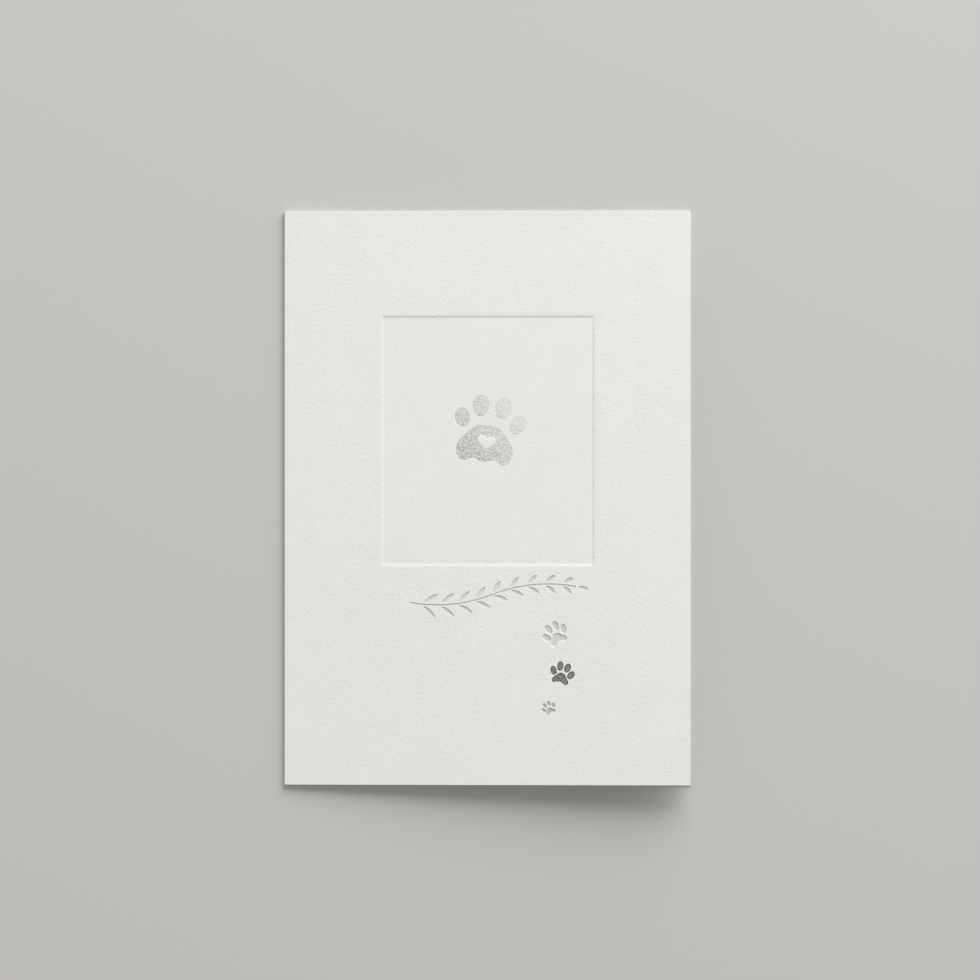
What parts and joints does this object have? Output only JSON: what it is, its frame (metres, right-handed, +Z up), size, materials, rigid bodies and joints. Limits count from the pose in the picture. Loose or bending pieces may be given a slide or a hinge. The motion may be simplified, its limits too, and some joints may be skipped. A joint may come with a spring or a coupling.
{
  "type": "greeting card",
  "caption": "Folded greeting card in thick cotton paper, its cover pressed with a sunk panel, paw prints and a leafy sprig, partly laid with foil.",
  "frame": {"origin": "on the table, under the middle of the card's bounding box", "axes": "+Z up out of the cover, +Y towards the top of the cover, -X towards the fold"},
  "size_m": [0.105, 0.148, 0.0077],
  "materials": {
    "cotton_paper": "matte",
    "silver_foil": "satin",
    "pewter_foil": "satin"
  },
  "bodies": {
    "root": {"folded_card": "cotton_paper", "large_paw_foil": "silver_foil", "small_paw_foil": "pewter_foil"}
  },
  "joints": []
}
